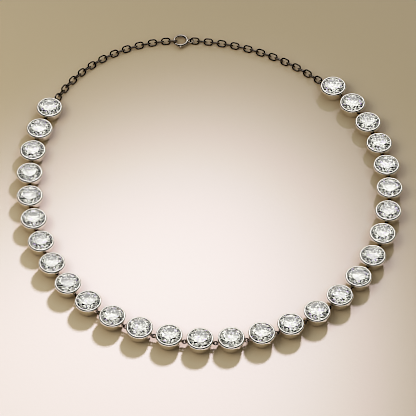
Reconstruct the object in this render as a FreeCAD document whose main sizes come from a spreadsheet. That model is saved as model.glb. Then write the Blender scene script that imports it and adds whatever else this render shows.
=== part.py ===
import FreeCAD
import Part

import math
import os

import Sketcher
from FreeCAD import Placement, Rotation, Vector

# Riviere necklace, lying on a flat surface: 29 round stones in collets, joined by jump rings, with a
# cable chain and a bolt ring at the back. Millimetres, X to the right, Y to the back of the neck, Z up.

SIZES = (
    # alias, value, meaning
    ("stone_pitch", 10.0, "centre of one stone to the next"),
    ("rim_radius", 4.45, "outside of the collet at its rim"),
    ("rim_height", 4.00, "top of the rim above the surface that the necklace lies on"),
    ("rim_edge_height", 3.88, "where the outside turns in over the stone"),
    ("rim_rounding", 0.42, "rounding of the outside edge of the rim"),
    ("lip_rounding", 0.08, "rounding of the inside edge of the rim"),
    ("lip_radius", 3.80, "opening of the rim over the stone"),
    ("lip_top_radius", 3.90, "inside edge of the polished band"),
    ("side_top_height", 3.40, "where the bowed side reaches the rim"),
    ("side_bow_radius", 16.0, "radius of the bow of the side, seen from the side"),
    ("foot_radius", 3.45, "outside of the foot"),
    ("foot_rounding", 0.10, "rounding of the foot's edge"),
    ("foot_opening_radius", 2.85, "opening below the stone"),
    ("seat_radius", 3.65, "inside edge of the seat under the girdle"),
    ("girdle_radius", 3.95, "widest part of the stone"),
    ("girdle_height", 3.44, "lower edge of the girdle above the surface"),
    ("girdle_thickness", 0.12, "height of the girdle"),
    ("table_radius", 2.37, "corners of the table"),
    ("star_radius", 3.18, "outer tips of the star facets"),
    ("pavilion_break_radius", 0.90, "inner tips of the lower girdle facets"),
    ("crown_angle", 34.5, "slope of the kite facets in degrees"),
    ("pavilion_angle", 40.5, "slope of the pavilion facets in degrees"),
    ("stone_gap", 0.05, "clear space round the girdle and above and below it"),
    ("facet_gap", 0.065, "clear height between the stone's slopes and the metal"),
    ("ear_height", 1.50, "centre of the soldered ears above the surface"),
    ("ear_reach", 4.31, "centre of an ear from the axis of its collet"),
    ("ear_hole_radius", 0.32, "hole of an ear"),
    ("ear_wire", 0.31, "wire of an ear"),
    ("ring_wire", 0.38, "wire of a jump ring"),
    ("end_ring_radius", 1.05, "wire centre line of the ring at each end of the row"),
    ("end_ring_play", 0.28, "clear space on the axis between an end ring and its chain link"),
    ("link_wire", 0.50, "wire of a chain link"),
    ("link_length", 3.50, "outside length of a chain link"),
    ("link_width", 2.60, "outside width of a chain link"),
    ("link_play", 0.12, "least clear space between two chain links"),
    ("clasp_ring_radius", 2.30, "centre line of the bolt ring"),
    ("clasp_tube_radius", 0.55, "thick part of the bolt ring"),
    ("clasp_bolt_radius", 0.36, "thin part of the bolt ring"),
    ("clasp_tube_turn", 230.0, "angle that the thick part covers, in degrees"),
    ("clasp_play", 0.40, "clear space on the axis between the bolt and its chain link"),
    ("clasp_eye_radius", 0.88, "centre line of the bolt ring's eye"),
    ("clasp_eye_wire", 0.44, "wire of the eye"),
    ("clasp_eye_offset", 0.10, "how far a link's end reaches past the centre of the eye"),
    ("clasp_solder", 0.35, "how far the eye runs into the tube"),
    ("clasp_knob_radius", 0.35, "thumb knob on the tube"),
    ("clasp_knob_length", 0.55, "how far the knob stands out"),
)

# The row of stones: each section has steps from stone to stone that turn by the same angle.
ROW_SECTIONS = (
    # name, steps, turn at each step in degrees
    ("left end and side", 7, 6.8),
    ("front", 13, 9.8),
    ("right side", 6, 8.3),
    ("right end", 2, 9.6),
)
ROW_START_HEADING = -107.7
STONE_COUNT = 29
BRILLIANT_FOLDS = 8
HALF_FOLD = 180 / BRILLIANT_FOLDS
STONE_SPIN = 137.5  # each stone is set turned on from the one before
CHAIN_DROP_LENGTH = 5.0
CHAIN_ROLL = 45.0

UP = Vector(0, 0, 1)
ALONG_X = Vector(1, 0, 0)

doc = FreeCAD.newDocument("RiviereNecklace")


# Driving sizes
def make_sheet():
    sheet = doc.addObject("Spreadsheet::Sheet", "Sizes")
    for row, (alias, value, meaning) in enumerate(SIZES, start=1):
        sheet.set(f"A{row}", alias)
        sheet.set(f"B{row}", str(value))
        sheet.set(f"C{row}", meaning)
        sheet.setAlias(f"B{row}", alias)
    doc.recompute()
    return sheet


sheet = make_sheet()


def size(alias):
    return float(sheet.get(alias))


def bind(feature, **expressions):
    for prop, expression in expressions.items():
        feature.setExpression(prop, expression)


def origin_plane(body, role):
    return next(f for f in body.Origin.OriginFeatures if f.Role == role)


# Collet: its half section turned about the stone's axis
BOWED_SIDE = 1  # counted along the outline: from the foot up to the rim
EDGE_MATCH = 1e-4


def collet_outline(sketch):
    corners = (
        # radius and height of each corner, from the opening below the stone round the outside
        ("Sizes.foot_opening_radius", "0"),
        ("Sizes.foot_radius", "0"),
        ("Sizes.rim_radius", "Sizes.side_top_height"),
        ("Sizes.rim_radius", "Sizes.rim_edge_height"),
        ("Sizes.lip_top_radius", "Sizes.rim_height"),
        ("Sizes.lip_radius", "Sizes.rim_height - Sizes.lip_top_radius + Sizes.lip_radius"),
        (
            "Sizes.lip_radius",
            "Sizes.girdle_height + Sizes.girdle_thickness + Sizes.facet_gap"
            " + (Sizes.girdle_radius - Sizes.lip_radius) * tan(Sizes.crown_angle * 1 deg)"
            f" * (Sizes.girdle_radius - Sizes.star_radius * cos({HALF_FOLD} deg))"
            " / (Sizes.girdle_radius - Sizes.star_radius)",
        ),
        (
            "Sizes.girdle_radius + Sizes.stone_gap",
            "Sizes.girdle_height + Sizes.girdle_thickness + Sizes.stone_gap",
        ),
        ("Sizes.girdle_radius + Sizes.stone_gap", "Sizes.girdle_height - Sizes.stone_gap"),
        (
            "Sizes.seat_radius",
            "Sizes.girdle_height - Sizes.facet_gap"
            " - (Sizes.girdle_radius - Sizes.seat_radius) * tan(Sizes.pavilion_angle * 1 deg)",
        ),
    )
    places = [
        Vector(size_of(sketch, radius), size_of(sketch, height), 0) for radius, height in corners
    ]
    sides = []
    for index, start in enumerate(places):
        end = places[(index + 1) % len(places)]
        if index == BOWED_SIDE:
            sides.append(sketch.addGeometry(bowed_side(start, end), False))
        else:
            sides.append(sketch.addGeometry(Part.LineSegment(start, end), False))
    for index, side in enumerate(sides):
        next_side = sides[(index + 1) % len(sides)]
        sketch.addConstraint(Sketcher.Constraint("Coincident", side, 2, next_side, 1))
    for side, place, (radius, height) in zip(sides, places, corners, strict=True):
        place_corner(sketch, side, "DistanceX", place.x, radius)
        place_corner(sketch, side, "DistanceY", place.y, height)
    bow = sketch.addConstraint(Sketcher.Constraint("Radius", sides[BOWED_SIDE], size("side_bow_radius")))
    sketch.setExpression(f"Constraints[{bow}]", "Sizes.side_bow_radius")


def size_of(feature, expression):
    value = feature.evalExpression(expression)
    return float(getattr(value, "Value", value))


def bowed_side(start, end):
    chord = end - start
    radius = size("side_bow_radius")
    sagitta = radius - math.sqrt(radius**2 - (chord.Length / 2) ** 2)
    outward = Vector(chord.y, -chord.x, 0).normalize()
    return Part.Arc(start, (start + end) / 2 + outward * sagitta, end)


def place_corner(sketch, side, kind, value, expression):
    if expression == "0":
        sketch.addConstraint(Sketcher.Constraint("PointOnObject", side, 1, -1))
        return
    corner = sketch.addConstraint(Sketcher.Constraint(kind, -1, 1, side, 1, value))
    sketch.setExpression(f"Constraints[{corner}]", expression)


def round_edges(body, base, name, radius_cell, places):
    edges = []
    for number, edge in enumerate(base.Shape.Edges, start=1):
        if not isinstance(edge.Curve, Part.Circle):
            continue
        centre = edge.Curve.Center
        for radius, height in places:
            if math.isclose(edge.Curve.Radius, radius, abs_tol=EDGE_MATCH) and math.isclose(
                centre.z, height, abs_tol=EDGE_MATCH
            ):
                edges.append(f"Edge{number}")
    fillet = body.newObject("PartDesign::Fillet", name)
    fillet.Base = (base, edges)
    fillet.setExpression("Radius", f"Sizes.{radius_cell}")
    doc.recompute()
    return fillet


def make_collet():
    body = doc.addObject("PartDesign::Body", "collet")
    sketch = body.newObject("Sketcher::SketchObject", "collet_section")
    sketch.AttachmentSupport = [(origin_plane(body, "XZ_Plane"), "")]
    sketch.MapMode = "FlatFace"
    collet_outline(sketch)
    turned = body.newObject("PartDesign::Revolution", "collet_turned")
    turned.Profile = sketch
    turned.ReferenceAxis = (sketch, ["V_Axis"])
    turned.Angle = 360
    doc.recompute()
    outer_edge = [(size("rim_radius"), size("rim_edge_height"))]
    rim = round_edges(body, turned, "rim_rounded", "rim_rounding", outer_edge)
    lip_edge = [(size("lip_top_radius"), size("rim_height"))]
    lip = round_edges(body, rim, "lip_rounded", "lip_rounding", lip_edge)
    foot_edges = [(size("foot_radius"), 0), (size("foot_opening_radius"), 0)]
    foot = round_edges(body, lip, "foot_rounded", "foot_rounding", foot_edges)
    body.Tip = foot
    return body


# Ears: upright rings soldered to opposite sides of a collet
def make_ear(name, side):
    ear = doc.addObject("Part::Torus", name)
    bind(ear, Radius1="Sizes.ear_hole_radius + Sizes.ear_wire / 2", Radius2="Sizes.ear_wire / 2")
    ear.Placement.Rotation = Rotation(ALONG_X, 90)
    ear.setExpression("Placement.Base.x", f"{side} * Sizes.ear_reach")
    ear.setExpression("Placement.Base.z", "Sizes.ear_height")
    return ear


def make_setting(number, place, collet, ears):
    setting = doc.addObject("Part::MultiFuse", f"setting_{number:02d}")
    setting.Shapes = [collet, *ears]
    setting.Placement = place
    return setting


# Stone: a round brilliant, with its facets' corners worked out from the two slopes
SHELL_TOLERANCE = 1e-6


def brilliant_shape():
    folds = BRILLIANT_FOLDS
    half = HALF_FOLD
    step = 2 * half
    girdle = size("girdle_radius")
    low = size("girdle_height")
    high = low + size("girdle_thickness")
    crown_slope = math.tan(math.radians(size("crown_angle")))
    pavilion_slope = math.tan(math.radians(size("pavilion_angle")))
    off_axis = math.cos(math.radians(half))

    def corner(radius, turn, height):
        angle = math.radians(turn)
        return Vector(radius * math.cos(angle), radius * math.sin(angle), height)

    def ring(radius, height, shift=0.0):
        return [corner(radius, step * fold + shift, height) for fold in range(folds)]

    star = size("star_radius")
    pavilion_break = size("pavilion_break_radius")
    table = ring(size("table_radius"), high + crown_slope * (girdle - size("table_radius")))
    stars = ring(star, high + crown_slope * (girdle - star * off_axis), half)
    upper, upper_mid = ring(girdle, high), ring(girdle, high, half)
    lower, lower_mid = ring(girdle, low), ring(girdle, low, half)
    breaks = ring(
        pavilion_break, low - pavilion_slope * (girdle - pavilion_break * off_axis), half
    )
    culet = Vector(0, 0, low - pavilion_slope * girdle)

    facets = [table]
    for fold in range(folds):
        after = (fold + 1) % folds
        before = fold - 1
        facets += [
            [table[fold], table[after], stars[fold]],
            [table[fold], stars[fold], upper[fold], stars[before]],
            [stars[fold], upper[fold], upper_mid[fold]],
            [stars[fold], upper_mid[fold], upper[after]],
            [upper[fold], lower[fold], lower_mid[fold], upper_mid[fold]],
            [upper_mid[fold], lower_mid[fold], lower[after], upper[after]],
            [breaks[fold], lower[fold], lower_mid[fold]],
            [breaks[fold], lower_mid[fold], lower[after]],
            [culet, breaks[fold], lower[fold], breaks[before]],
        ]
    faces = [Part.Face(Part.makePolygon([*facet, facet[0]])) for facet in facets]
    stone = Part.Solid(Part.Shell(faces))
    stone.fix(SHELL_TOLERANCE, SHELL_TOLERANCE, SHELL_TOLERANCE)
    return stone


def make_stone(number, place, shape):
    stone = doc.addObject("Part::Feature", f"stone_{number:02d}")
    stone.Shape = shape
    stone.Placement = place * Placement(Vector(), Rotation(UP, STONE_SPIN * number))
    return stone


# Layout: where the stones are, and the way that the chain takes behind them
def row_turns():
    return [turn for _, steps, turn in ROW_SECTIONS for _ in range(steps)]


def heading_vector(heading):
    return Vector(math.cos(math.radians(heading)), math.sin(math.radians(heading)), 0)


def lay_row():
    turns = row_turns()
    places = []
    centre = Vector(0, 0, 0)
    arriving = ROW_START_HEADING - turns[0]
    for number in range(STONE_COUNT):
        leaving = arriving + turns[min(number, len(turns) - 1)]
        heading = (arriving + leaving) / 2
        places.append(Placement(centre, Rotation(UP, heading)))
        centre = centre + heading_vector(leaving) * size("stone_pitch")
        arriving = leaving
    return places


class ChainWay:
    """Two tangent arcs from the last ear back to the first, lowered to the surface behind the ears."""

    def __init__(self, start, start_along, end, end_along):
        self.end_height = start.z
        reach = end - start
        reach.z = 0
        both = start_along + end_along
        spread = 2 * (1 - start_along.dot(end_along))
        tangent = (
            -reach.dot(both) + math.sqrt(reach.dot(both) ** 2 + spread * reach.dot(reach))
        ) / spread
        middle = (start + end + (start_along - end_along) * tangent) / 2
        self.arcs = [
            self.arc_from(start, start_along, middle),
            self.arc_from(end, end_along * -1, middle),
        ]
        self.length = self.arcs[0]["length"] + self.arcs[1]["length"]

    @staticmethod
    def arc_from(start, along, end):
        chord = end - start
        left = Vector(-along.y, along.x, 0)
        radius = chord.dot(chord) / (2 * chord.dot(left))
        turn = 2 * math.atan2(chord.dot(left), chord.dot(along))
        return {
            "start": start,
            "along": along,
            "left": left,
            "radius": radius,
            "length": abs(radius * turn),
        }

    def point(self, chainage):
        first, last = self.arcs
        arc, run = (first, chainage) if chainage <= first["length"] else (last, self.length - chainage)
        angle = run / arc["radius"]
        flat = (
            arc["start"]
            + arc["along"] * (arc["radius"] * math.sin(angle))
            + arc["left"] * (arc["radius"] * (1 - math.cos(angle)))
        )
        near_end = min(chainage, self.length - chainage)
        ease = min(1.0, max(0.0, near_end / CHAIN_DROP_LENGTH))
        ease = ease * ease * (3 - 2 * ease)
        height = self.end_height + (link_axis_height() - self.end_height) * ease
        return Vector(flat.x, flat.y, height)

    def place(self, chainage, length, roll):
        """A frame halfway along a stretch, with X along it, turned about X by roll degrees."""
        start = self.point(chainage)
        end = self.point(chainage + length)
        along = (end - start).normalize()
        across = UP.cross(along).normalize()
        level = Rotation(along, across, along.cross(across), "XYZ")
        return Placement((start + end) / 2, level * Rotation(ALONG_X, roll))


def link_axis_height():
    """Height of a chain link's centre when it lies rolled to one side on the surface."""
    half_width = (size("link_width") - size("link_wire")) / 2
    return half_width * math.sin(math.radians(CHAIN_ROLL)) + size("link_wire") / 2


# Rings and links
def make_ring(name, radius_expression):
    ring = doc.addObject("Part::Torus", name)
    bind(ring, Radius1=radius_expression, Radius2="Sizes.ring_wire / 2")
    return ring


def make_link():
    half = (size("link_length") - size("link_wire")) / 2
    radius = (size("link_width") - size("link_wire")) / 2
    straight = half - radius
    right_low, right_high = Vector(straight, -radius, 0), Vector(straight, radius, 0)
    left_low, left_high = Vector(-straight, -radius, 0), Vector(-straight, radius, 0)
    wire = [
        Part.LineSegment(left_low, right_low),
        Part.Arc(right_low, Vector(half, 0, 0), right_high),
        Part.LineSegment(right_high, left_high),
        Part.Arc(left_high, Vector(-half, 0, 0), left_low),
    ]
    centre_line = doc.addObject("Part::Feature", "link_centre_line")
    centre_line.Shape = Part.Wire([piece.toShape() for piece in wire])
    section = doc.addObject("Part::Circle", "link_section")
    bind(section, Radius="Sizes.link_wire / 2")
    section.Placement = Placement(left_low, Rotation(UP, ALONG_X))
    link = doc.addObject("Part::Sweep", "link")
    link.Sections = [section]
    link.Spine = (centre_line, [f"Edge{number}" for number in range(1, len(wire) + 1)])
    link.Solid = True
    link.Frenet = True
    return link


def ear_centre(place, side):
    return place.multVec(Vector(side * size("ear_reach"), 0, size("ear_height")))


def jump_ring_places(row):
    places = []
    for before, after in zip(row, row[1:], strict=False):
        start, end = ear_centre(before, 1), ear_centre(after, -1)
        turn = math.degrees(math.atan2(end.y - start.y, end.x - start.x))
        places.append(Placement((start + end) / 2, Rotation(UP, turn)))
    return places


def chain_plan(way):
    """Chainages of the chain's parts: links on both sides of the clasp, which is halfway round."""
    wire, play = size("link_wire"), size("link_play")
    inside = size("link_length") - wire
    end_ring_run = (
        2 * size("end_ring_radius") - (size("ring_wire") + wire) / 2 - size("end_ring_play")
    )
    eye_to_ring = (
        size("clasp_ring_radius") + size("clasp_tube_radius")
        + size("clasp_eye_radius") + size("clasp_eye_wire") / 2 - size("clasp_solder")
    )
    ring_to_link = (
        size("clasp_ring_radius") - size("clasp_bolt_radius") - wire / 2 - size("clasp_play")
    )
    clasp_run = eye_to_ring + ring_to_link - size("clasp_eye_offset")
    for_links = way.length - 2 * end_ring_run - clasp_run
    longest_step = inside - wire - play
    steps = math.ceil((for_links - 2 * inside) / longest_step)
    step = (for_links - 2 * inside) / steps
    first_steps = steps // 2
    starts = [end_ring_run + step * index for index in range(first_steps + 1)]
    eye = starts[-1] + inside - size("clasp_eye_offset")
    after_clasp = eye + eye_to_ring + ring_to_link
    starts += [after_clasp + step * index for index in range(steps - first_steps + 1)]
    return {"links": starts, "inside": inside, "eye": eye, "eye_to_ring": eye_to_ring, "step": step}


def make_links(row, way, plan):
    jump_ring = make_ring("jump_ring", "Sizes.stone_pitch / 2 - Sizes.ear_reach")
    end_ring = make_ring("end_ring", "Sizes.end_ring_radius")
    link = make_link()
    doc.recompute()
    across_ring = 2 * size("end_ring_radius")
    copies = [(jump_ring, place) for place in jump_ring_places(row)]
    copies.append((end_ring, way.place(0, across_ring, 0)))
    copies.append((end_ring, way.place(way.length - across_ring, across_ring, 0)))
    for index, chainage in enumerate(plan["links"]):
        roll = CHAIN_ROLL if index % 2 else -CHAIN_ROLL
        copies.append((link, way.place(chainage, plan["inside"], roll)))
    loose = []
    for source, place in copies:
        piece = source.Shape.copy()
        piece.Placement = place.multiply(source.Placement)
        loose.append(piece)
    links = doc.addObject("Part::Feature", "links")
    links.Shape = Part.makeCompound(loose)
    links.Placement = Placement()
    return links


# Clasp: a closed bolt ring, thick where its tube is and thin where its bolt runs
def make_clasp(way, plan):
    tube = doc.addObject("Part::Torus", "clasp_tube")
    bind(
        tube, Radius1="Sizes.clasp_ring_radius", Radius2="Sizes.clasp_tube_radius",
        Angle3="Sizes.clasp_tube_turn * 1 deg",
    )
    tube.Placement.Rotation = Rotation(UP, 180 - size("clasp_tube_turn") / 2)
    bolt = doc.addObject("Part::Torus", "clasp_bolt")
    bind(bolt, Radius1="Sizes.clasp_ring_radius", Radius2="Sizes.clasp_bolt_radius")
    eye = doc.addObject("Part::Torus", "clasp_eye")
    bind(eye, Radius1="Sizes.clasp_eye_radius", Radius2="Sizes.clasp_eye_wire / 2")
    eye.setExpression(
        "Placement.Base.x",
        "-(Sizes.clasp_ring_radius + Sizes.clasp_tube_radius + Sizes.clasp_eye_radius"
        " + Sizes.clasp_eye_wire / 2 - Sizes.clasp_solder)",
    )
    knob = doc.addObject("Part::Cylinder", "clasp_knob")
    bind(
        knob, Radius="Sizes.clasp_knob_radius",
        Height="Sizes.clasp_tube_radius + Sizes.clasp_knob_length",
    )
    knob.Placement.Rotation = Rotation(UP, Vector(0, 1, 0))
    knob.setExpression("Placement.Base.y", "Sizes.clasp_ring_radius")
    clasp = doc.addObject("Part::MultiFuse", "clasp")
    clasp.Shapes = [tube, bolt, eye, knob]
    eye_place = way.place(plan["eye"], plan["eye_to_ring"], 0)
    ring_centre = eye_place.multVec(Vector(plan["eye_to_ring"] / 2, 0, 0))
    clasp.Placement = Placement(ring_centre, eye_place.Rotation)
    return clasp


def build():
    row = lay_row()
    collet = make_collet()
    ears = [make_ear("ear_front", 1), make_ear("ear_back", -1)]
    stone_shape = brilliant_shape()
    parts = []
    for number, place in enumerate(row, start=1):
        parts.append(make_setting(number, place, collet, ears))
    for number, place in enumerate(row, start=1):
        parts.append(make_stone(number, place, stone_shape))
    start, end = ear_centre(row[-1], 1), ear_centre(row[0], -1)
    along_start = row[-1].Rotation.multVec(ALONG_X)
    along_end = row[0].Rotation.multVec(ALONG_X)
    way = ChainWay(start, along_start, end, along_end)
    plan = chain_plan(way)
    parts.append(make_links(row, way, plan))
    parts.append(make_clasp(way, plan))
    doc.recompute()
    centre_on_origin(parts)
    report_length(way, plan)
    return parts


def centre_on_origin(parts):
    """Moves the necklace so that the origin is the middle of its box's bottom."""
    box = FreeCAD.BoundBox()
    for part in parts:
        box.add(part.Shape.optimalBoundingBox(False, False))
    shift = Placement(Vector(-box.Center.x, -box.Center.y, -box.ZMin), Rotation())
    for part in parts:
        part.Placement = shift.multiply(part.Placement)
    doc.recompute()
    print(f"box {box.XLength:.2f} x {box.YLength:.2f} x {box.ZLength:.2f} mm")
    print(f"first stone at {-box.Center.x:.3f}, {-box.Center.y:.3f}")


def report_length(way, plan):
    row_length = (STONE_COUNT - 1) * size("stone_pitch") + 2 * size("ear_reach")
    print(f"row {row_length:.1f} mm, chain {way.length:.1f} mm")
    print(f"whole loop {row_length + way.length:.1f} mm")
    print(f"{len(plan['links'])} chain links, {plan['step']:.3f} mm apart")


def check(parts):
    for feature in doc.Objects:
        if "Invalid" in feature.State or "Error" in feature.State:
            raise RuntimeError(f"{feature.Label} failed: {feature.State}")
    for part in parts:
        if part.Shape.isNull() or not part.Shape.isValid():
            raise RuntimeError(f"{part.Label} has no valid shape")


def write(parts):
    os.makedirs("parts", exist_ok=True)
    for part in parts:
        part.Shape.exportStep(f"parts/{part.Label}.step")


parts = build()
check(parts)
write(parts)
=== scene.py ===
import math

import bmesh
import bpy
from mathutils import Matrix, Vector


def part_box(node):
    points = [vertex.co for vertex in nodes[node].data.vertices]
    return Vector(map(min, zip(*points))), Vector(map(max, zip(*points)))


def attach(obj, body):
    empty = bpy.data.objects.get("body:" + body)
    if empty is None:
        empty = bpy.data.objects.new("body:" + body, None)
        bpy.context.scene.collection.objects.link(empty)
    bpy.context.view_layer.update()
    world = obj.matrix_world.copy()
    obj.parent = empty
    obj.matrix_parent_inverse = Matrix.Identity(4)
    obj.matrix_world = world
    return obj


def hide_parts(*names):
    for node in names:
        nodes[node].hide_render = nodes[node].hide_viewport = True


# Riviere necklace: the looks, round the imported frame. Metres; sizes ending in _MM are millimetres.

MM = 0.001
STONE_COUNT = 29
FOLDS = 8

# Section of a setting, as in the part's source but with a slightly lower and rounder rim
RIM_RADIUS_MM = 4.45
RIM_HEIGHT_MM = 3.95
RIM_EDGE_MM = 3.90
RIM_ROUNDING_MM = 0.50
LIP_ROUNDING_MM = 0.08
LIP_RADIUS_MM = 3.80
LIP_TOP_RADIUS_MM = 3.87
SIDE_TOP_MM = 3.40
SIDE_BOW_MM = 16.0
FOOT_RADIUS_MM = 3.45
FOOT_ROUNDING_MM = 0.10
FOOT_OPENING_MM = 2.85
SEAT_RADIUS_MM = 3.65
GIRDLE_RADIUS_MM = 3.95
GIRDLE_HEIGHT_MM = 3.44
GIRDLE_THICKNESS_MM = 0.12
STAR_RADIUS_MM = 3.18
CROWN_SLOPE = math.tan(math.radians(34.5))
PAVILION_SLOPE = math.tan(math.radians(40.5))
STONE_GAP_MM = 0.05
FACET_GAP_MM = 0.065
EAR_HEIGHT_MM = 1.50
EAR_REACH_MM = 4.31
EAR_LOOP_MM = 0.475
EAR_WIRE_RADIUS_MM = 0.155

# Fineness of the meshes
AROUND = 96
BOW_STEPS = 12
CORNER_STEPS = 6
EAR_AROUND = 36
EAR_WIRE_SIDES = 14
SHARP_EDGE = math.radians(32)

# Marks of handwork
SETTING_VARIANTS = 4
SOLDER_FLARE_MM = 0.09
SOLDER_REACH_MM = 0.10
RIM_WAVE_MM = 0.010
# Waves round a rim: how many, shift from one variant to the next, share of the height
RIM_WAVES = ((3, 1.7, 1.0), (7, 2.9, 0.6))

# Metal. Roughness goes from the smoothest spot to the roughest.
SILVER_COLOUR = (0.94, 0.915, 0.87, 1)
SILVER_ROUGHNESS = (0.02, 0.07)
# Painted shade: the wire of the links and the chain is painted near black for the shade it lies in between
# and behind the settings.
SHADED_WIRE_COLOUR = (0.10, 0.083, 0.069, 1)
WIRE_ROUGHNESS = (0.12, 0.28)
# Painted shade: the clasp is painted mid grey, a lighter share of the dark painted on the wire.
CLASP_COLOUR = (0.42, 0.38, 0.34, 1)
CLASP_ROUGHNESS = (0.06, 0.20)
WEAR_GRAIN = 900
WEAR_DETAIL = 6
# Strength and depth in metres
WEAR_BUMP = (0.03, 0.0002)
TARNISH = (0.84, 0.79, 0.72, 1)
TARNISH_GRAIN = 320
TARNISH_DETAIL = 4
# Noise values where tarnish begins and is full, as in the other names that end in _FROM
TARNISH_FROM = (0.45, 0.75)
# Distance along the row, from the stone's centre, where the painted shade on an ear begins and is full
EAR_SHADE_MM = (3.95, 4.25)
# Height where it ends, and how far below that it is full
EAR_SHADE_TOP_MM = 2.9
EAR_SHADE_FADE_MM = 0.5

# Stones
STONE_IOR = 2.42
STONE_BODY = (0.965, 0.98, 0.95, 1)
STONE_CLEAR = (1, 1, 1, 1)
POLISH_GRAIN = 260
POLISH_DETAIL = 3
POLISH_FROM = (0.5, 0.8)
POLISH_ROUGHNESS = (0, 0.02)

# Floor
FLOOR_RADIUS = 3.0
FLOOR_CORNERS = 128
FLOOR_COLOUR = (0.80, 0.78, 0.76, 1)
FLOOR_GRAIN = 700
FLOOR_DETAIL = 5
FLOOR_ROUGHNESS = (0.62, 0.80)
FLOOR_BUMP = (0.05, 0.0005)
FLOOR_SPECULAR = 0.3
CONTACT_COLOUR = (0.62, 0.46, 0.31, 1)
CONTACT_REACH = 0.004
CONTACT_SAMPLES = 8

# Camera: the photograph's angle
CAMERA_ELEVATION = math.radians(50.37)
CAMERA_DISTANCE = 0.9685
CAMERA_LENS_MM = 252.5
CAMERA_SENSOR_MM = 36
CAMERA_CLIP = (0.01, 20)
CAMERA_AIM = Vector((-0.39, -10.99, 3.45)) * MM

# Lamps: the key stands behind the necklace at the right, the side fill above it at the left
KEY_PLACE = Vector((0.105, 0.270, 0.235))
KEY_AIM = Vector((-0.050, -0.140, 0.0))
KEY_RADIUS = 0.028
KEY_WATTS = 14.8
KEY_CONE = math.radians(32)
KEY_BLEND = 1.0
KEY_COLOUR = (1.0, 0.89, 0.99)
GLINT_WATTS = 0.5
GLINT_RADIUS = 0.012
SIDE_FILL_PLACE = Vector((-0.20, -0.06, 0.26))
SIDE_FILL_AIM = Vector((0, 0, 0))
SIDE_FILL_SIZE = 0.26
SIDE_FILL_WATTS = 0.34

# Skies. A patch is its direction, its inner and outer radius in degrees and its strength.
FILL_COLOUR = (1.0, 0.81, 0.50, 1)
FILL = 0.315
METAL_COLOUR = (1.0, 0.98, 0.95, 1)
METAL_BASE = 0.02
METAL_PATCHES = (
    ((0, 0.60, 0.80), 24, 28, 1.85),
    ((0, 0.97, 0.25), 12, 30, 0.25),
    ((0, -0.05, 1.0), 8, 17, 0.45),
    ((0, -0.75, 0.66), 8, 26, 0.18),
)
HORIZON = 0.45
HORIZON_HEIGHT = 0.22
STONE_TINT = (1.0, 0.985, 0.87, 1)
STONE_BASE = 0.08
STONE_PATCHES = (
    ((0, 0.20, 0.98), 44, 70, 1.9),
    ((0, -0.85, 0.53), 14, 34, 0.8),
)
# The broken sky and its coloured lights: noise values, and what they are turned into
SKY_GRAIN = 24
SKY_FROM = (0.42, 0.58)
SKY_BRIGHTNESS = (0.16, 1.0)
FIRE_GRAIN = 9
FIRE_HUE_FROM = (0.35, 0.65)
FIRE_HUE = (0.05, 0.72)
FIRE_DEPTH_FROM = (0.60, 0.66)
FIRE_DEPTH = (0, 0.6)
SOFT_NOISE_DETAIL = 2

# Picture. The film curve has pairs of light in and light out, and ends at the light that prints white.
VIEW = "Standard"
LOOK = "None"
EXPOSURE = 0.0
FILM = ((0.5, 0.5), (0.65, 0.617), (0.80, 0.725), (1.05, 0.85), (1.25, 0.93), (1.6, 0.985))
FILM_WHITE = 2.2
SHARPENING = 0.022
FILTER_WIDTH = 1.0
BOUNCES = 16
TRANSMISSION_BOUNCES = 14
GLOSSY_BOUNCES = 8

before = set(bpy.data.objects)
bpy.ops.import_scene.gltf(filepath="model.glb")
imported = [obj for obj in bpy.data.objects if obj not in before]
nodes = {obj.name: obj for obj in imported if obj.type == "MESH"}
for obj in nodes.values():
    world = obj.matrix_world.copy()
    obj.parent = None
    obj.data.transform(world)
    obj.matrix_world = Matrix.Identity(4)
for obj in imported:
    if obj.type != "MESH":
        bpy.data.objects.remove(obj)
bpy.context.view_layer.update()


# Meshes
def rounded_corner(before, corner, after, radius):
    """Points of an arc of that radius in the corner between two straight sides."""
    into = (before - corner).normalized()
    out = (after - corner).normalized()
    half = into.angle(out) / 2
    centre = corner + (into + out).normalized() * (radius / math.sin(half))
    start = corner + into * (radius / math.tan(half)) - centre
    end = corner + out * (radius / math.tan(half)) - centre
    turn = start.angle(end)
    return [
        centre
        + (start * math.sin(turn * (1 - k / CORNER_STEPS)) + end * math.sin(turn * k / CORNER_STEPS))
        / math.sin(turn)
        for k in range(CORNER_STEPS + 1)
    ]


def bowed_line(start, end, radius):
    """Points between start and end on an arc that bows to the right of the way from start to end."""
    chord = end - start
    half = chord.length / 2
    away = Vector((-chord.y, chord.x)).normalized()
    centre = (start + end) / 2 + away * math.sqrt(radius**2 - half**2)
    first = start - centre
    turn = 2 * math.asin(half / radius)
    points = []
    for k in range(BOW_STEPS + 1):
        angle = turn * k / BOW_STEPS
        points.append(
            centre
            + Vector((
                first.x * math.cos(angle) - first.y * math.sin(angle),
                first.x * math.sin(angle) + first.y * math.cos(angle),
            ))
        )
    return points


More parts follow.
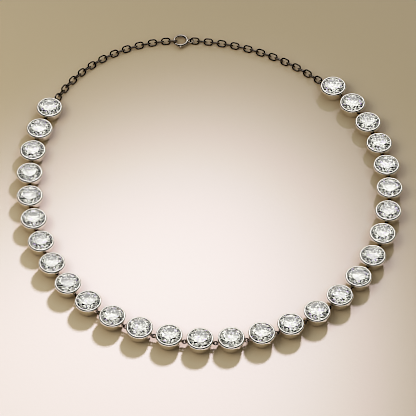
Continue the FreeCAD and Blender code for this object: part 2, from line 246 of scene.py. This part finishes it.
def collet_section():
    """Outline of the metal as (radius, height) points in millimetres, anticlockwise."""
    girdle_top = GIRDLE_HEIGHT_MM + GIRDLE_THICKNESS_MM
    ridge = GIRDLE_RADIUS_MM - STAR_RADIUS_MM * math.cos(math.pi / FOLDS)
    ridge_slope = CROWN_SLOPE * ridge / (GIRDLE_RADIUS_MM - STAR_RADIUS_MM)
    foot_inside = Vector((FOOT_OPENING_MM, 0))
    foot_outside = Vector((FOOT_RADIUS_MM, 0))
    side_top = Vector((RIM_RADIUS_MM, SIDE_TOP_MM))
    rim_edge = Vector((RIM_RADIUS_MM, RIM_EDGE_MM))
    lip_top = Vector((LIP_TOP_RADIUS_MM, RIM_HEIGHT_MM))
    lip = Vector((LIP_RADIUS_MM, RIM_HEIGHT_MM - LIP_TOP_RADIUS_MM + LIP_RADIUS_MM))
    lip_under = Vector((
        LIP_RADIUS_MM,
        girdle_top + FACET_GAP_MM + (GIRDLE_RADIUS_MM - LIP_RADIUS_MM) * ridge_slope,
    ))
    groove = GIRDLE_RADIUS_MM + STONE_GAP_MM
    groove_top = Vector((groove, girdle_top + STONE_GAP_MM))
    groove_low = Vector((groove, GIRDLE_HEIGHT_MM - STONE_GAP_MM))
    seat = Vector((
        SEAT_RADIUS_MM,
        GIRDLE_HEIGHT_MM - FACET_GAP_MM - (GIRDLE_RADIUS_MM - SEAT_RADIUS_MM) * PAVILION_SLOPE,
    ))
    side = bowed_line(foot_outside, side_top, SIDE_BOW_MM)
    return [
        *rounded_corner(seat, foot_inside, foot_outside, FOOT_ROUNDING_MM),
        *rounded_corner(foot_inside, foot_outside, side[1], FOOT_ROUNDING_MM),
        *side[1:],
        *rounded_corner(side_top, rim_edge, lip_top, RIM_ROUNDING_MM),
        *rounded_corner(rim_edge, lip_top, lip, LIP_ROUNDING_MM),
        lip,
        lip_under,
        groove_top,
        groove_low,
        seat,
    ]


def hand_finish(point, angle, variant):
    """The burnished lip isn't quite even: its height and edge wander a little round the stone."""
    above = max(0.0, (point.y - SIDE_TOP_MM) / (RIM_HEIGHT_MM - SIDE_TOP_MM))
    wave = sum(share * math.sin(count * angle + shift * variant) for count, shift, share in RIM_WAVES)
    return Vector((point.x + RIM_WAVE_MM * wave * above, point.y - RIM_WAVE_MM * abs(wave) * above))


def ring_mesh(name, rings):
    """A closed mesh through rings of points, of which the last meets the first."""
    mesh = bmesh.new()
    corners = [[mesh.verts.new(point) for point in ring] for ring in rings]
    for ring, after in zip(corners, [*corners[1:], corners[0]], strict=True):
        for k in range(len(ring)):
            other = (k + 1) % len(ring)
            mesh.faces.new((ring[k], after[k], after[other], ring[other]))
    bmesh.ops.recalc_face_normals(mesh, faces=mesh.faces)
    data = bpy.data.meshes.new(name)
    mesh.to_mesh(data)
    mesh.free()
    return data


def collet_mesh(name, variant):
    """The collet's section turned round its axis, with the unevenness of one variant."""
    section = collet_section()
    rings = []
    for step in range(AROUND):
        angle = 2 * math.pi * step / AROUND
        ring = []
        for point in section:
            place = hand_finish(point, angle, variant)
            ring.append((place.x * math.cos(angle) * MM, place.x * math.sin(angle) * MM, place.y * MM))
        rings.append(ring)
    return ring_mesh(name, rings)


def wall_radius(height):
    """Outside radius of the collet at a height, on the chord of its bowed side."""
    share = min(1.0, max(0.0, height / SIDE_TOP_MM))
    return FOOT_RADIUS_MM + (RIM_RADIUS_MM - FOOT_RADIUS_MM) * share


def ear_mesh(name, side):
    """An upright wire ring at one side of the collet, which flares where it is soldered on."""
    rings = []
    for step in range(EAR_AROUND):
        angle = 2 * math.pi * step / EAR_AROUND
        reach = EAR_REACH_MM + EAR_LOOP_MM * math.cos(angle)
        height = EAR_HEIGHT_MM + EAR_LOOP_MM * math.sin(angle)
        clear = max(0.0, reach - wall_radius(height))
        wire = EAR_WIRE_RADIUS_MM + SOLDER_FLARE_MM * math.exp(-((clear / SOLDER_REACH_MM) ** 2))
        ring = []
        for k in range(EAR_WIRE_SIDES):
            turn = 2 * math.pi * k / EAR_WIRE_SIDES
            out = wire * math.cos(turn)
            ring.append((
                side * (reach + out * math.cos(angle)) * MM,
                wire * math.sin(turn) * MM,
                (height + out * math.sin(angle)) * MM,
            ))
        rings.append(ring)
    return ring_mesh(name, rings)


def placed(name, data):
    piece = bpy.data.objects.new(name, data)
    bpy.context.scene.collection.objects.link(piece)
    return piece


def setting_mesh(variant):
    """Collet and ears in one closed mesh."""
    collet = placed(f"collet_{variant}", collet_mesh(f"collet_{variant}", variant))
    ears = [placed(f"ear_{variant}", ear_mesh(f"ear_{variant}", side)) for side in (1, -1)]
    for ear in ears:
        union = collet.modifiers.new("soldered", "BOOLEAN")
        union.operation = "UNION"
        union.solver = "EXACT"
        union.object = ear
    graph = bpy.context.evaluated_depsgraph_get()
    data = bpy.data.meshes.new_from_object(collet.evaluated_get(graph))
    data.name = f"setting_form_{variant}"
    for piece in (collet, *ears):
        bpy.data.objects.remove(piece)
    data.shade_smooth()
    data.set_sharp_from_angle(angle=SHARP_EDGE)
    return data


# Places of the settings, from the frame
def stone_centres():
    centres = []
    for number in range(1, STONE_COUNT + 1):
        low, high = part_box(f"stone_{number:02d}")
        centres.append(Vector(((low.x + high.x) / 2, (low.y + high.y) / 2, 0)))
    return centres


def heading(vector):
    return math.atan2(vector.y, vector.x)


def setting_headings(centres):
    """The way that the row runs at each stone: halfway between the steps before and after it."""
    ways = [heading(after - before) for before, after in zip(centres, centres[1:], strict=False)]
    turns = [
        (after - before + math.pi) % (2 * math.pi) - math.pi
        for before, after in zip(ways, ways[1:], strict=False)
    ]
    inner = [way + turn / 2 for way, turn in zip(ways, turns, strict=False)]
    return [ways[0] - turns[0] / 2, *inner, ways[-1] + turns[-1] / 2]


# Nodes that the materials and the skies share
def feed(tree, socket, source):
    """Links a socket to another one, or gives it a plain value."""
    if isinstance(source, bpy.types.NodeSocket):
        tree.links.new(source, socket)
    else:
        socket.default_value = source


def noise(tree, where, grain, detail):
    made = tree.nodes.new("ShaderNodeTexNoise")
    made.inputs["Scale"].default_value = grain
    made.inputs["Detail"].default_value = detail
    tree.links.new(where, made.inputs["Vector"])
    return made.outputs["Fac"]


def ranged(tree, value, before, after, interpolation="LINEAR"):
    """The value taken from the range before to the range after, and kept inside it."""
    made = tree.nodes.new("ShaderNodeMapRange")
    made.interpolation_type = interpolation
    for name, limit in zip(("From Min", "From Max", "To Min", "To Max"), (*before, *after), strict=True):
        made.inputs[name].default_value = limit
    tree.links.new(value, made.inputs["Value"])
    return made.outputs["Result"]


def reckoned(tree, operation, *values):
    made = tree.nodes.new("ShaderNodeMath")
    made.operation = operation
    for value, socket in zip(values, made.inputs, strict=False):
        tree.links.new(value, socket)
    return made.outputs[0]


def mixed(tree, first, second, share, blend="MIX"):
    """Two colours mixed. Each of the three is a plain value or a socket."""
    made = tree.nodes.new("ShaderNodeMix")
    made.data_type = "RGBA"
    made.blend_type = blend
    feed(tree, made.inputs["A"], first)
    feed(tree, made.inputs["B"], second)
    feed(tree, made.inputs["Factor"], share)
    return made.outputs["Result"]


def parts_of(tree, where):
    """The X, Y and Z of coordinates."""
    apart = tree.nodes.new("ShaderNodeSeparateXYZ")
    tree.links.new(where, apart.inputs[0])
    return apart.outputs


# Materials
def new_material(name):
    """A material, its node tree, its shader and the coordinates of the object that wears it."""
    material = bpy.data.materials.new(name)
    material.use_nodes = True
    tree = material.node_tree
    where = tree.nodes.new("ShaderNodeTexCoord").outputs["Object"]
    return material, tree, tree.nodes["Principled BSDF"], where


def roughen(tree, shader, grain, roughness, bump):
    """Roughness and small bumps of a surface, both from the same noise."""
    strength, depth = bump
    tree.links.new(ranged(tree, grain, (0, 1), roughness), shader.inputs["Roughness"])
    relief = tree.nodes.new("ShaderNodeBump")
    relief.inputs["Strength"].default_value = strength
    relief.inputs["Distance"].default_value = depth
    tree.links.new(grain, relief.inputs["Height"])
    tree.links.new(relief.outputs["Normal"], shader.inputs["Normal"])


def ear_shade_mask(tree, where):
    """Where shade is painted on a setting: 1 on the ears and the metal round them, 0 on the rest."""
    place = parts_of(tree, where)
    reach = reckoned(tree, "ABSOLUTE", place["X"])
    out = ranged(tree, reach, [edge * MM for edge in EAR_SHADE_MM], (0, 1))
    top = EAR_SHADE_TOP_MM * MM
    below = ranged(tree, place["Z"], (top, top - EAR_SHADE_FADE_MM * MM), (0, 1))
    return reckoned(tree, "MULTIPLY", out, below)


def silver_material(name, colour, roughness, shaded_ears=False):
    material, tree, shader, where = new_material(name)
    shader.inputs["Metallic"].default_value = 1.0
    shader.inputs["Base Color"].default_value = colour
    dulled = [metal * film for metal, film in zip(colour, TARNISH, strict=True)]
    tarnish = noise(tree, where, TARNISH_GRAIN, TARNISH_DETAIL)
    shade = mixed(tree, colour, dulled, ranged(tree, tarnish, TARNISH_FROM, (0, 1)))
    # Painted shade: the ears and the low wall round them stand in the shade between the settings, so they
    # take the dark wire colour.
    if shaded_ears:
        shade = mixed(tree, shade, SHADED_WIRE_COLOUR, ear_shade_mask(tree, where))
    tree.links.new(shade, shader.inputs["Base Color"])
    roughen(tree, shader, noise(tree, where, WEAR_GRAIN, WEAR_DETAIL), roughness, WEAR_BUMP)
    return material


def stone_material():
    material, tree, shader, where = new_material("clear_stone")
    shader.inputs["Transmission Weight"].default_value = 1.0
    shader.inputs["IOR"].default_value = STONE_IOR
    polish = noise(tree, where, POLISH_GRAIN, POLISH_DETAIL)
    tree.links.new(ranged(tree, polish, POLISH_FROM, POLISH_ROUGHNESS), shader.inputs["Roughness"])
    tree.links.new(mixed(tree, STONE_CLEAR, STONE_BODY, polish), shader.inputs["Base Color"])
    return material


def floor_material():
    """Plain paint, with a brown shade where the necklace stands close to it."""
    material, tree, shader, where = new_material("floor_paint")
    near = tree.nodes.new("ShaderNodeAmbientOcclusion")
    near.inputs["Distance"].default_value = CONTACT_REACH
    near.samples = CONTACT_SAMPLES
    shade = mixed(tree, CONTACT_COLOUR, FLOOR_COLOUR, near.outputs["AO"])
    tree.links.new(shade, shader.inputs["Base Color"])
    roughen(tree, shader, noise(tree, where, FLOOR_GRAIN, FLOOR_DETAIL), FLOOR_ROUGHNESS, FLOOR_BUMP)
    shader.inputs["Specular IOR Level"].default_value = FLOOR_SPECULAR
    return material


def dress(mesh, material):
    mesh.materials.clear()
    mesh.materials.append(material)


# Necklace
def add_settings(silver):
    """A finer setting in the place of each of the frame's."""
    forms = [setting_mesh(variant) for variant in range(SETTING_VARIANTS)]
    for form in forms:
        dress(form, silver)
    centres = stone_centres()
    for number, (centre, turn) in enumerate(zip(centres, setting_headings(centres), strict=True), start=1):
        setting = placed(f"setting_detail_{number:02d}", forms[number % SETTING_VARIANTS])
        setting.matrix_world = Matrix.Translation(centre) @ Matrix.Rotation(turn, 4, "Z")
        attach(setting, "root")
        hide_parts(f"setting_{number:02d}")


def dress_stones(clear):
    for number in range(1, STONE_COUNT + 1):
        dress(nodes[f"stone_{number:02d}"].data, clear)


# Floor, camera and lamps
def make_floor():
    bpy.ops.mesh.primitive_circle_add(vertices=FLOOR_CORNERS, radius=FLOOR_RADIUS, fill_type="NGON")
    floor = bpy.context.object
    floor.name = "floor"
    dress(floor.data, floor_material())


def aim_at(thing, target):
    thing.rotation_mode = "QUATERNION"
    thing.rotation_quaternion = (target - thing.location).to_track_quat("-Z", "Y")


def make_camera():
    data = bpy.data.cameras.new("camera")
    data.lens = CAMERA_LENS_MM
    data.sensor_width = CAMERA_SENSOR_MM
    data.clip_start, data.clip_end = CAMERA_CLIP
    camera = placed("camera", data)
    back = Vector((0, -math.cos(CAMERA_ELEVATION), math.sin(CAMERA_ELEVATION)))
    camera.location = CAMERA_AIM + back * CAMERA_DISTANCE
    aim_at(camera, CAMERA_AIM)
    bpy.context.scene.camera = camera


def make_key():
    """The lamp that casts the shadows. Metal and stones don't mirror it."""
    data = bpy.data.lights.new("key", "SPOT")
    data.energy = KEY_WATTS
    data.color = KEY_COLOUR
    data.spot_size = KEY_CONE
    data.spot_blend = KEY_BLEND
    data.shadow_soft_size = KEY_RADIUS
    key = placed("key", data)
    key.location = KEY_PLACE
    aim_at(key, KEY_AIM)
    key.visible_glossy = False


def make_glint():
    """A small lamp in the key's place that gives only glints."""
    data = bpy.data.lights.new("glint", "POINT")
    data.energy = GLINT_WATTS
    data.shadow_soft_size = GLINT_RADIUS
    glint = placed("glint", data)
    glint.location = KEY_PLACE
    glint.visible_diffuse = False


def make_side_fill():
    """A large weak lamp at the left, which the metal and the stones don't show."""
    data = bpy.data.lights.new("side_fill", "AREA")
    data.shape = "DISK"
    data.size = SIDE_FILL_SIZE
    data.energy = SIDE_FILL_WATTS
    data.color = FILL_COLOUR[:3]
    lamp = placed("side_fill", data)
    lamp.location = SIDE_FILL_PLACE
    aim_at(lamp, SIDE_FILL_AIM)
    lamp.visible_glossy = False
    lamp.visible_transmission = False


# Skies
def soft_patch(tree, where, direction, inner, outer, strength):
    """A round patch of sky round a direction that fades from inner to outer degrees."""
    along = tree.nodes.new("ShaderNodeVectorMath")
    along.operation = "DOT_PRODUCT"
    along.inputs[1].default_value = Vector(direction).normalized()
    tree.links.new(where, along.inputs[0])
    edges = (math.cos(math.radians(outer)), math.cos(math.radians(inner)))
    return ranged(tree, along.outputs["Value"], edges, (0, strength), "SMOOTHSTEP")


def patched(tree, where, base, patches):
    """A base strength and the patches on top of it."""
    total = tree.nodes.new("ShaderNodeValue").outputs[0]
    total.default_value = base
    for patch in patches:
        total = reckoned(tree, "ADD", total, soft_patch(tree, where, *patch))
    return total


def metal_strength(tree, where):
    """Panels of light behind, above and in front, and a low bright band of sky all round."""
    height = parts_of(tree, where)["Z"]
    horizon = ranged(tree, height, (HORIZON_HEIGHT, HORIZON_HEIGHT / 2), (0, HORIZON), "SMOOTHSTEP")
    return reckoned(tree, "ADD", patched(tree, where, METAL_BASE, METAL_PATCHES), horizon)


def stone_strength(tree, where):
    """A bright sky, broken into lighter and darker spots."""
    broken = noise(tree, where, SKY_GRAIN, SOFT_NOISE_DETAIL)
    spots = ranged(tree, broken, SKY_FROM, SKY_BRIGHTNESS)
    return reckoned(tree, "MULTIPLY", patched(tree, where, STONE_BASE, STONE_PATCHES), spots)


def stone_colour(tree, where):
    """Nearly white, with small coloured lights here and there."""
    varied = noise(tree, where, FIRE_GRAIN, SOFT_NOISE_DETAIL)
    fire = tree.nodes.new("ShaderNodeCombineColor")
    fire.mode = "HSV"
    hue, depth, brightness = fire.inputs
    feed(tree, hue, ranged(tree, varied, FIRE_HUE_FROM, FIRE_HUE))
    feed(tree, depth, ranged(tree, varied, FIRE_DEPTH_FROM, FIRE_DEPTH))
    feed(tree, brightness, 1.0)
    return mixed(tree, fire.outputs[0], STONE_TINT, 1.0, "MULTIPLY")


def shining(tree, background, colour, strength):
    feed(tree, background.inputs["Color"], colour)
    feed(tree, background.inputs["Strength"], strength)
    return background.outputs[0]


def make_world():
    """Three skies: what the floor is filled with, what the metal mirrors and what the stones refract."""
    world = bpy.data.worlds.new("studio")
    bpy.context.scene.world = world
    world.use_nodes = True
    tree = world.node_tree
    where = tree.nodes.new("ShaderNodeTexCoord").outputs["Generated"]
    metal = tree.nodes.new("ShaderNodeBackground")
    stone = tree.nodes.new("ShaderNodeBackground")
    mirrored = shining(tree, metal, METAL_COLOUR, metal_strength(tree, where))
    refracted = shining(tree, stone, stone_colour(tree, where), stone_strength(tree, where))
    sky = shining(tree, tree.nodes["Background"], FILL_COLOUR, FILL)
    path = tree.nodes.new("ShaderNodeLightPath")
    for ray, other in (("Is Glossy Ray", mirrored), ("Is Transmission Ray", refracted)):
        chosen = tree.nodes.new("ShaderNodeMixShader")
        tree.links.new(path.outputs[ray], chosen.inputs[0])
        tree.links.new(sky, chosen.inputs[1])
        tree.links.new(other, chosen.inputs[2])
        sky = chosen.outputs[0]
    tree.links.new(sky, tree.nodes["World Output"].inputs["Surface"])


# Picture
def set_film():
    """The picture's bright end rolls off softly, and its edges are a little crisper."""
    scene = bpy.context.scene
    scene.use_nodes = True
    tree = scene.node_tree
    tree.nodes.clear()
    layers = tree.nodes.new("CompositorNodeRLayers")
    curve = tree.nodes.new("CompositorNodeCurveRGB")
    curve.inputs["White Level"].default_value = (FILM_WHITE, FILM_WHITE, FILM_WHITE, 1)
    line = curve.mapping.curves[3]
    for light, shown in FILM:
        line.points.new(light / FILM_WHITE, shown)
    curve.mapping.extend = "HORIZONTAL"
    curve.mapping.update()
    crisp = tree.nodes.new("CompositorNodeFilter")
    crisp.filter_type = "SHARPEN"
    crisp.inputs["Fac"].default_value = SHARPENING
    result = tree.nodes.new("CompositorNodeComposite")
    tree.links.new(layers.outputs["Image"], curve.inputs["Image"])
    tree.links.new(curve.outputs["Image"], crisp.inputs["Image"])
    tree.links.new(crisp.outputs["Image"], result.inputs["Image"])


def set_rendering():
    scene = bpy.context.scene
    scene.view_settings.view_transform = VIEW
    scene.view_settings.look = LOOK
    scene.view_settings.exposure = EXPOSURE
    cycles = scene.cycles
    cycles.max_bounces = BOUNCES
    cycles.transmission_bounces = TRANSMISSION_BOUNCES
    cycles.glossy_bounces = GLOSSY_BOUNCES
    cycles.use_denoising = True
    cycles.filter_width = FILTER_WIDTH
    cycles.caustics_refractive = False
    cycles.caustics_reflective = False


add_settings(silver_material("polished_silver", SILVER_COLOUR, SILVER_ROUGHNESS, shaded_ears=True))
dress_stones(stone_material())
# Links and chain wear silver that is painted dark with shade.
dress(nodes["links"].data, silver_material("shade_darkened_silver_wire", SHADED_WIRE_COLOUR, WIRE_ROUGHNESS))
dress(nodes["clasp"].data, silver_material("shade_dulled_silver_clasp", CLASP_COLOUR, CLASP_ROUGHNESS))

make_floor()
make_camera()
make_key()
make_glint()
make_side_fill()
make_world()
set_rendering()
set_film()
